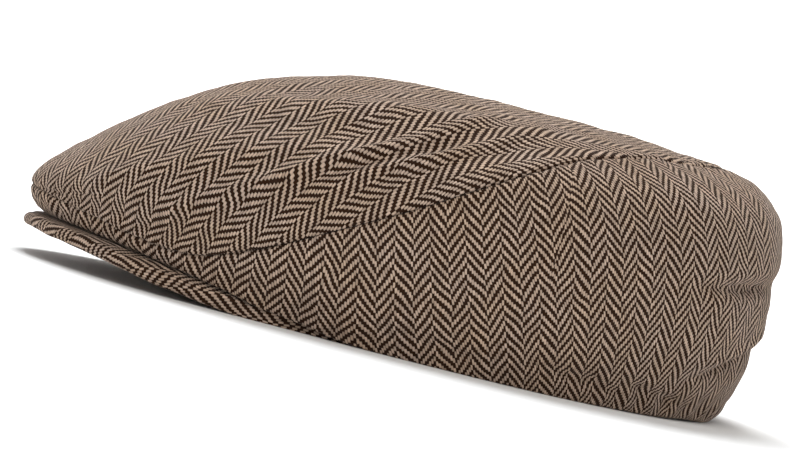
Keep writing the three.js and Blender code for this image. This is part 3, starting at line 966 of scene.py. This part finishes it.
class Graph:
    """A material's nodes, and short ways to add them. A value that is a socket is linked,
    and any other is set on the input itself."""

    def __init__(self, name):
        self.material = bpy.data.materials.new(name)
        self.material.use_nodes = True
        self.tree = self.material.node_tree
        self.tree.nodes.clear()

    def feed(self, socket, value):
        if isinstance(value, bpy.types.NodeSocket):
            self.tree.links.new(value, socket)
        else:
            socket.default_value = value

    def node(self, kind, inputs=None, **settings):
        node = self.tree.nodes.new(kind)
        node.location.x = 190 * len(self.tree.nodes)
        for key, value in settings.items():
            setattr(node, key, value)
        for key, value in (inputs or {}).items():
            self.feed(node.inputs[key], value)
        return node

    def weave(self):
        """The place in the cloth, in millimetres across and along the warp."""
        return self.node("ShaderNodeUVMap", uv_map=WEAVE_MAP).outputs["UV"]

    def parts(self, vector):
        return self.node("ShaderNodeSeparateXYZ", {0: vector}).outputs

    def calc(self, operation, *values, clamp=False):
        inputs = dict(enumerate(values))
        node = self.node("ShaderNodeMath", inputs, operation=operation, use_clamp=clamp)
        return node.outputs[0]

    def times(self, a, b):
        return self.calc("MULTIPLY", a, b)

    def plus(self, a, b):
        return self.calc("ADD", a, b)

    def less(self, a, b):
        return self.calc("SUBTRACT", a, b)

    def vector(self, operation, *values, scale=None):
        inputs = dict(enumerate(values))
        if scale is not None:
            inputs["Scale"] = scale
        return self.node("ShaderNodeVectorMath", inputs, operation=operation).outputs[0]

    def noise(self, vector, scale, detail=2.0, rough=0.5, output="Fac"):
        inputs = {"Vector": vector, "Scale": scale, "Detail": detail, "Roughness": rough}
        return self.node("ShaderNodeTexNoise", inputs).outputs[output]

    def remap(self, value, low, high, to_low=0.0, to_high=1.0, smooth=False):
        inputs = {"Value": value, "From Min": low, "From Max": high}
        inputs.update({"To Min": to_low, "To Max": to_high})
        kind = "SMOOTHSTEP" if smooth else "LINEAR"
        return self.node("ShaderNodeMapRange", inputs, interpolation_type=kind).outputs["Result"]

    def blend(self, share, a, b, kind="MIX"):
        node = self.node("ShaderNodeMix", data_type="RGBA", blend_type=kind)
        colours = [s for s in node.inputs if s.type == "RGBA"]
        self.feed(node.inputs[0], share)
        self.feed(colours[0], a)
        self.feed(colours[1], b)
        return [s for s in node.outputs if s.type == "RGBA"][0]

    def finish(self, colour, height, depth, **shader):
        inputs = {"Height": height, "Distance": depth, "Strength": 1.0}
        normal = self.node("ShaderNodeBump", inputs).outputs["Normal"]
        inputs = {"Base Color": colour, "Normal": normal}
        inputs.update({key.replace("_", " "): value for key, value in shader.items()})
        surface = self.node("ShaderNodeBsdfPrincipled", inputs)
        output = self.node("ShaderNodeOutputMaterial")
        self.tree.links.new(surface.outputs[0], output.inputs["Surface"])
        return self.material


def make_tweed(name, cloth, light, dark, softness):
    """Broken herringbone. Light warp threads pass over two dark weft threads and under two;
    each next warp thread is one weft thread higher, the slope turns round at every arm, and
    the pattern steps by half a repeat there. Softness blurs the two yarns together."""
    g = Graph(name)
    weave = g.weave()
    moved = weave
    for noise, reach in ((DRIFT, cloth.wander), (STRAY, cloth.wobble)):
        way = g.vector("SUBTRACT", g.noise(weave, *noise, output="Color"), (0.5, 0.5, 0.5))
        moved = g.vector("ADD", moved, g.vector("SCALE", way, scale=reach / MM))
    across, along, _ = g.parts(moved)
    ends = g.calc("DIVIDE", across, cloth.warp_spacing / MM)
    picks = g.calc("DIVIDE", along, cloth.weft_spacing / MM)
    arm_ends = float(cloth.arm_ends)
    fold = g.calc("PINGPONG", ends, arm_ends)
    arm = g.calc("FLOORED_MODULO", g.calc("FLOOR", g.calc("DIVIDE", ends, arm_ends)), 2.0)
    step = g.plus(g.calc("FLOOR", fold), g.calc("FLOOR", picks))
    step = g.calc("MULTIPLY_ADD", arm, REPEAT / 2, step)
    step = g.calc("FLOORED_MODULO", step, REPEAT)
    is_light = g.calc("LESS_THAN", step, 1.5)
    half = g.calc("FLOORED_MODULO", step, 2.0)

    def over_two(count):
        """How far along a thread is on its way over two others, from -0.5 to 0.5."""
        return g.less(g.times(g.plus(half, g.calc("FRACT", count)), 0.5), 0.5)

    def across_thread(count):
        return g.less(g.calc("FRACT", count), 0.5)

    # the light thread leans a little with its twist; the dark one lies across it, and lower
    along = over_two(picks)
    across = g.calc("MULTIPLY_ADD", along, cloth.twist_lean, across_thread(ends))
    light_height = bead(g, across, along, *LIGHT_BEAD)
    dark_height = g.times(bead(g, across_thread(picks), over_two(fold), *DARK_BEAD), DARK_HEIGHT)
    lit = g.times(is_light, g.remap(light_height, 0.0, LIT_FROM, smooth=True))
    dark_shown = g.times(g.less(1.0, is_light), dark_height)
    height = g.calc("MAXIMUM", g.times(is_light, light_height), dark_shown)
    # each thread has its own shade, the wool is mottled, and its fibres are uneven
    pair = g.calc("FLOOR", g.times(g.less(picks, half), 0.5))
    thread = g.node("ShaderNodeCombineXYZ", {0: g.calc("FLOOR", ends), 1: pair}).outputs[0]
    own = g.node("ShaderNodeTexWhiteNoise", {"Vector": thread}, noise_dimensions="2D")
    own = own.outputs["Value"]
    fibre = g.noise(g.vector("MULTIPLY", weave, FIBRE_STRETCH), *FIBRES)
    streak = g.noise(g.vector("MULTIPLY", weave, STREAK_STRETCH), *STREAKS)
    share = g.times(g.times(lit, g.remap(own, 0, 1, *THREAD_SHADES)), 1 - softness)
    share = g.plus(share, g.times(g.noise(weave, *BLUR), softness))
    warm_share = g.remap(g.noise(weave, *CLOUDS), 0.35, 0.65)
    warm = g.blend(warm_share, light, tuple(cloth.light_warm))
    cool = g.blend(g.remap(own, 0, 1, 0, 0.5), dark, tuple(cloth.dark_purple))
    # painted shade: the weave's colour is darkened where its threads lie low and is full on their
    # crests
    shade = g.remap(height, 0.1, 0.95, *PAINTED_HOLLOW_SHADES)
    shade = g.times(shade, g.remap(fibre, 0.3, 0.7, *FIBRE_SHADES))
    shade = g.times(shade, g.remap(streak, 0.3, 0.7, *STREAK_SHADES))
    colour = g.vector("SCALE", g.blend(share, cool, warm), scale=shade)
    relief = g.calc("MULTIPLY_ADD", fibre, FIBRE_RELIEF, height)
    return g.finish(colour, relief, cloth.yarn_relief, Roughness=0.95, Specular_IOR_Level=0.1,
                    Sheen_Weight=cloth.sheen, Sheen_Roughness=0.35,
                    Sheen_Tint=tuple(cloth.sheen_tint))


def bead(g, across, along, half_width, half_length):
    """Height of a thread where it shows: round across, and level along but for its ends."""
    round_part = g.calc("POWER", g.calc("DIVIDE", across, half_width), 2.0)
    round_part = g.calc("SQRT", g.calc("MAXIMUM", g.less(1.0, round_part), 0.0))
    end_part = g.calc("POWER", g.calc("ABSOLUTE", g.calc("DIVIDE", along, half_length)), 5.0)
    return g.times(round_part, g.calc("SUBTRACT", 1.0, end_part, clamp=True))


def make_cotton(name, band):
    """Black cotton twill with lint: fine slanting ribs, faded patches, pale specks."""
    g = Graph(name)
    weave = g.weave()
    across, along, _ = g.parts(weave)
    rib = g.plus(across, g.times(along, RIB_SLANT))
    rib = g.calc("SINE", g.times(rib, 2 * math.pi / RIB_SPACING))
    rib = g.calc("MULTIPLY_ADD", rib, 0.5, 0.5)
    fuzz = g.noise(weave, *FUZZ)
    inputs = {"Vector": weave, "Scale": LINT_SCALE, "Randomness": 1.0}
    cells = g.node("ShaderNodeTexVoronoi", inputs).outputs
    speck = g.remap(cells["Distance"], *LINT_EDGE, smooth=True)
    draw = g.node("ShaderNodeSeparateColor", {0: cells["Color"]}).outputs[0]
    lint = g.times(speck, g.calc("GREATER_THAN", draw, LINT_CHOSEN))
    worn = g.remap(g.noise(weave, *WEAR), 0.4, 0.7)
    base = g.blend(worn, tuple(band.colour), tuple(band.worn))
    base = g.vector("SCALE", base, scale=g.remap(fuzz, 0.25, 0.75, *FUZZ_SHADES))
    colour = g.blend(g.times(lint, LINT_COVER), base, tuple(band.lint))
    height = g.plus(g.times(rib, 0.5), g.plus(fuzz, lint))
    return g.finish(colour, height, RIB_RELIEF, Roughness=0.85, Specular_IOR_Level=0.3,
                    Sheen_Weight=0.25, Sheen_Roughness=0.5)


def make_lining_cloth(name, band):
    """Thin black lining: close plain weave with a soft gloss."""
    g = Graph(name)
    weave = g.weave()
    across, along, _ = g.parts(weave)
    turns = 2 * math.pi / LINING_SPACING
    height = g.times(*(g.calc("SINE", g.times(way, turns)) for way in (across, along)))
    colour = g.blend(g.noise(weave, *LINING_WEAR), tuple(band.lining), tuple(band.worn))
    return g.finish(colour, height, LINING_RELIEF, Roughness=0.55, Specular_IOR_Level=0.4)


# ---- settings --------------------------------------------------------------------------


def number(name, value, description, kind=bpy.props.FloatProperty, **more):
    return kind(name=name, description=description, default=value, **more)


def length(name, metres, description):
    return number(name, metres, description, soft_min=0, precision=5, unit="LENGTH")


def turn(name, degrees, description):
    return number(name, math.radians(degrees), description, subtype="ANGLE")


def count(name, value, description):
    return number(name, value, description, bpy.props.IntProperty, min=3)


def colour(name, rgb, description):
    return number(name, (*rgb, 1.0), description, bpy.props.FloatVectorProperty,
                  size=4, min=0, max=1, subtype="COLOR")


class ClothSettings(bpy.types.PropertyGroup):
    """The tweed: its yarns, its pattern and its nap."""
    warp_spacing: length("Warp spacing", 0.00075, "From one light thread to the next")
    weft_spacing: length("Weft spacing", 0.0009, "From one dark thread to the next")
    arm_ends: count("Threads in an arm", 8, "Light threads before the slope turns round")
    wander: length("Wander", 0.0022, "How far the pattern drifts over a few centimetres")
    wobble: length("Wobble", 0.00035, "How far single threads stray")
    twist_lean: number("Twist lean", 0.18, "Sideways lean of a thread, as a share of the spacing")
    yarn_relief: length("Yarn relief", 0.00028, "Height of a thread above the gaps")
    light: colour("Light yarn", (0.63, 0.475, 0.38), "Colour of the warp")
    light_warm: colour("Light yarn, warm", (0.62, 0.45, 0.33), "Its warmer patches")
    dark: colour("Dark yarn", (0.041, 0.0165, 0.006), "Colour of the weft")
    dark_purple: colour("Dark yarn, cool", (0.040, 0.021, 0.016), "Its cooler threads")
    under_light: colour("Under-peak light", (0.30, 0.235, 0.19), "Light yarn below the peak")
    under_dark: colour("Under-peak dark", (0.16, 0.12, 0.10), "Dark yarn below the peak")
    sheen: number("Nap sheen", 0.12, "Strength of the pale nap at a glancing angle", min=0, max=1)
    sheen_tint: colour("Nap colour", (1.0, 0.92, 0.86), "Colour of the nap's sheen")


class CapSettings(bpy.types.PropertyGroup):
    """The cap's shape: how the cloth lies, and how finely the pieces are divided."""
    drape: length("Drape", 0.0005, "Height of the slow waves in the cloth")
    cockle: length("Cockle", 0.00015, "Height of the small waves in the cloth")
    seam_depth: length("Seam depth", 0.0006, "How far the cloth sinks into a seam")
    pucker: length("Pucker", 0.0002, "Height of the gathers along a seam")
    side_stations: count("Side divisions", 360, "Divisions round each side panel")
    side_rows: count("Side rows", 130, "Divisions up each side panel")
    top_stations: count("Top divisions", 480, "Divisions round the top panel")
    top_rows: count("Top rows", 120, "Divisions from the seam to the middle of the top")
    peak_stations: count("Peak divisions", 260, "Divisions round the peak")
    band_stations: count("Sweatband divisions", 240, "Divisions round the sweatband")
    lining_stations: count("Lining divisions", 180, "Divisions round the lining")


class BandSettings(bpy.types.PropertyGroup):
    """The sweatband's and the lining's colours."""
    colour: colour("Cotton", (0.010, 0.010, 0.012), "Colour of the sweatband")
    worn: colour("Worn cotton", (0.020, 0.020, 0.024), "Where it is rubbed")
    lint: colour("Lint", (0.45, 0.45, 0.47), "Specks on the sweatband")
    lining: colour("Lining", (0.006, 0.006, 0.008), "Colour of the lining")


class StageSettings(bpy.types.PropertyGroup):
    """The floor, the lights and the camera."""
    floor: colour("Floor", (0.92, 0.92, 0.92), "Colour of the floor")
    azimuth: turn("Camera azimuth", 88, "From the front towards the wearer's left")
    elevation: turn("Camera elevation", 0.6, "Above the horizon")
    roll: turn("Camera roll", 14, "Turn about the line of sight")
    distance: length("Camera distance", 0.766, "From the point that it looks at")
    lens: number("Lens", 96.5, "Focal length in millimetres", min=10, max=300)
    aim: number("Aim", (0.0, -0.002, 0.040), "The point that the camera looks at",
                bpy.props.FloatVectorProperty, size=3, unit="LENGTH")
    key_power: number("Key light", 10.5, "Power of the large light in front, in watts")
    top_power: number("Top light", 20.0, "Power of the light above and behind, in watts")
    fill_power: number("Fill light", 0.6, "Power of the light on the right, in watts")
    wall_power: number("Wall light", 75.0, "Power of the light on the wall, in watts")
    world: number("Surroundings", 0.25, "Brightness of the surroundings")


# ---- operators -------------------------------------------------------------------------


def tweed_of(context):
    """The tweed that most of the pieces share, made for the first of them."""
    cloth = context.scene.cap_cloth
    found = bpy.data.materials.get(TWEED)
    return found or make_tweed(TWEED, cloth, tuple(cloth.light), tuple(cloth.dark), 0.0)


class CAP_OT_side_panels(bpy.types.Operator):
    """Builds the two side panels"""
    bl_idname = "cap.side_panels"
    bl_label = "Side Panels"

    def execute(self, context):
        for node, side in (("side_panel_left", 1), ("side_panel_right", -1)):
            grid, weave, outer = make_side_panel(side, context.scene.cap_look)
            add_cloth(node, grid, weave, tweed_of(context), "tweed", outer=outer)
        return {"FINISHED"}


class CAP_OT_top_panel(bpy.types.Operator):
    """Builds the top panel"""
    bl_idname = "cap.top_panel"
    bl_label = "Top Panel"

    def execute(self, context):
        grid, weave, poles = make_top_panel(context.scene.cap_look)
        add_cloth("top_panel", grid, weave, tweed_of(context), "tweed", True, poles=poles)
        return {"FINISHED"}


class CAP_OT_peak(bpy.types.Operator):
    """Builds the two covers of the peak"""
    bl_idname = "cap.peak"
    bl_label = "Peak"

    def execute(self, context):
        look, cloth = context.scene.cap_look, context.scene.cap_cloth
        yarns = tuple(cloth.under_light), tuple(cloth.under_dark)
        pale = make_tweed("pale_tweed", cloth, *yarns, UNDER_SOFTNESS)
        add_cloth("peak_upper", *peak_grid(look, True), tweed_of(context), "tweed")
        add_cloth("peak_under", *peak_grid(look, False), pale, "tweed_under")
        return {"FINISHED"}


class CAP_OT_sweatband(bpy.types.Operator):
    """Builds the sweatband"""
    bl_idname = "cap.sweatband"
    bl_label = "Sweatband"

    def execute(self, context):
        cotton = make_cotton("black_cotton", context.scene.cap_band)
        grid, weave = band_grid(context.scene.cap_look)
        add_cloth("sweatband", grid, weave, cotton, "sweatband_cotton", True)
        return {"FINISHED"}


class CAP_OT_lining(bpy.types.Operator):
    """Builds the lining"""
    bl_idname = "cap.lining"
    bl_label = "Lining"

    def execute(self, context):
        cloth = make_lining_cloth("black_lining", context.scene.cap_band)
        grid, weave, poles = lining_grid(context.scene.cap_look)
        add_cloth("lining", grid, weave, cloth, "lining_cloth", True, poles=poles)
        return {"FINISHED"}


class CAP_OT_stage(bpy.types.Operator):
    """Sets the pale floor, the lights and the camera"""
    bl_idname = "cap.stage"
    bl_label = "Stage"

    def execute(self, context):
        stage = context.scene.cap_stage
        make_floor(stage)
        make_lights(stage)
        make_camera(stage)
        context.scene.view_settings.view_transform = "Standard"
        return {"FINISHED"}


# ---- the stage -------------------------------------------------------------------------

FLOOR_FLAT = 1500       # millimetres out to where the floor starts to rise
FLOOR_BEND = 1500       # radius of the bend, which ends in an upright wall
CAP_MIDDLE = (0, 0, 0.04)

# Round lights, in metres: name, place, width, colour, and the point that each faces.
LIGHTS = (
    ("key", (1.1, 0.0, 1.4), 0.9, (1.0, 0.98, 0.94), CAP_MIDDLE),
    ("top", (-0.4, -0.2, 1.5), 0.9, (0.94, 0.975, 1.0), CAP_MIDDLE),
    ("fill", (1.1, 1.0, 0.6), 1.0, (1.0, 0.95, 0.88), CAP_MIDDLE),
    ("wall", (-0.9, 0.0, 1.7), 1.0, (1.0, 1.0, 1.0), (-2.6, 0.0, 0.5)),
)


def make_floor(stage):
    """A flat disc that curves up into a wall all round: rings of points round the middle."""
    turns = np.linspace(0, 2 * np.pi, 97)[:-1, None]
    flat = np.linspace(0, FLOOR_FLAT, 9)[1:]
    rise = np.linspace(0, np.pi / 2, 25)[1:]
    out = np.concatenate([flat, FLOOR_FLAT + FLOOR_BEND * np.sin(rise)])
    up = np.concatenate([0 * flat, FLOOR_BEND * (1 - np.cos(rise))])
    ring = np.stack([out * np.cos(turns), out * np.sin(turns), up + 0 * turns], -1)
    points = np.concatenate([[[0, 0, 0]], ring.reshape(-1, 3)])
    index = np.arange(ring.shape[0] * ring.shape[1]).reshape(ring.shape[:2]) + 1
    after = np.roll(index, -1, 0)
    quads = np.stack([index[:, :-1], index[:, 1:], after[:, 1:], after[:, :-1]], -1)
    quads = quads.reshape(-1, 4)
    fan = np.stack([0 * index[:, 0], index[:, 0], after[:, 0]], -1)
    corners = np.concatenate([quads.ravel(), fan.ravel()])
    sizes = np.concatenate([np.full(len(quads), 4), np.full(len(fan), 3)])
    mesh = fill_mesh("floor", points, corners, sizes, points[corners, :2])
    mesh.materials.append(make_floor_paint("pale_floor", tuple(stage.floor)))
    floor = show("floor", mesh)


def make_floor_paint(name, pale):
    """Matt paint on the faces' fronts. Their backs are clear, so the floor shows from above
    only."""
    g = Graph(name)
    inputs = {"Base Color": pale, "Roughness": 0.9, "Specular IOR Level": 0.1}
    paint = g.node("ShaderNodeBsdfPrincipled", inputs).outputs[0]
    clear = g.node("ShaderNodeBsdfTransparent").outputs[0]
    side = g.node("ShaderNodeNewGeometry").outputs["Backfacing"]
    both = g.node("ShaderNodeMixShader", {0: side, 1: paint, 2: clear}).outputs[0]
    g.node("ShaderNodeOutputMaterial", {"Surface": both})
    return g.material


def aim_object(thing, place, target, roll=0.0):
    """Puts a lamp or camera at a place, looking at the target, turned about that line."""
    back = unit(np.array(place, float) - np.array(target, float))
    right = unit(np.cross((0, 0, 1), back))
    up = np.cross(back, right)
    matrix = np.eye(4)
    matrix[:3, 0] = right * math.cos(roll) + up * math.sin(roll)
    matrix[:3, 1] = up * math.cos(roll) - right * math.sin(roll)
    matrix[:3, 2], matrix[:3, 3] = back, place
    thing.matrix_world = Matrix(matrix.tolist())


def make_lights(stage):
    """Three soft lights on the cap, one on the wall behind it, and even surroundings."""
    for name, place, width, tint, target in LIGHTS:
        light = bpy.data.lights.new(name, "AREA")
        light.shape = "DISK"
        light.size = width
        light.energy = getattr(stage, name + "_power")
        light.color = tint
        aim_object(show(name, light), place, target)
    world = bpy.data.worlds.new("surroundings")
    world.use_nodes = True
    background = world.node_tree.nodes["Background"].inputs
    background["Color"].default_value = (1, 1, 1, 1)
    background["Strength"].default_value = stage.world
    bpy.context.scene.world = world


def make_camera(stage):
    """Looks at the cap from one side, from just above the floor."""
    camera = show("camera", bpy.data.cameras.new("camera"))
    camera.data.lens = stage.lens
    a, e = stage.azimuth, stage.elevation
    back = np.array([math.sin(a) * math.cos(e), -math.cos(a) * math.cos(e), math.sin(e)])
    aim = np.array(stage.aim)
    aim_object(camera, aim + back * stage.distance, aim, stage.roll)
    bpy.context.scene.camera = camera


# ---- the panel, and putting it together ------------------------------------------------

SETTINGS = {
    "cap_cloth": ClothSettings,
    "cap_look": CapSettings,
    "cap_band": BandSettings,
    "cap_stage": StageSettings,
}
OPERATORS = (
    CAP_OT_side_panels, CAP_OT_top_panel, CAP_OT_peak,
    CAP_OT_sweatband, CAP_OT_lining, CAP_OT_stage,
)


class CAP_PT_cap(bpy.types.Panel):
    """Lists the cap's pieces and its settings"""
    bl_idname = "CAP_PT_cap"
    bl_label = "Ivy Cap"
    bl_space_type = "VIEW_3D"
    bl_region_type = "UI"
    bl_category = "Cap"

    def draw(self, context):
        for operator in OPERATORS:
            self.layout.operator(operator.bl_idname)
        for name, kind in SETTINGS.items():
            box = self.layout.box()
            box.label(text=kind.__doc__)
            for key in kind.__annotations__:
                box.prop(getattr(context.scene, name), key)


CLASSES = (*SETTINGS.values(), *OPERATORS, CAP_PT_cap)


def register():
    for cls in CLASSES:
        bpy.utils.register_class(cls)
    for name, kind in SETTINGS.items():
        setattr(bpy.types.Scene, name, bpy.props.PointerProperty(type=kind))


def unregister():
    for name in SETTINGS:
        delattr(bpy.types.Scene, name)
    for cls in reversed(CLASSES):
        bpy.utils.unregister_class(cls)


def main():
    register()
    bpy.ops.cap.side_panels()
    bpy.ops.cap.top_panel()
    bpy.ops.cap.peak()
    bpy.ops.cap.sweatband()
    bpy.ops.cap.lining()
    bpy.ops.cap.stage()


if __name__ == "__main__":
    main()
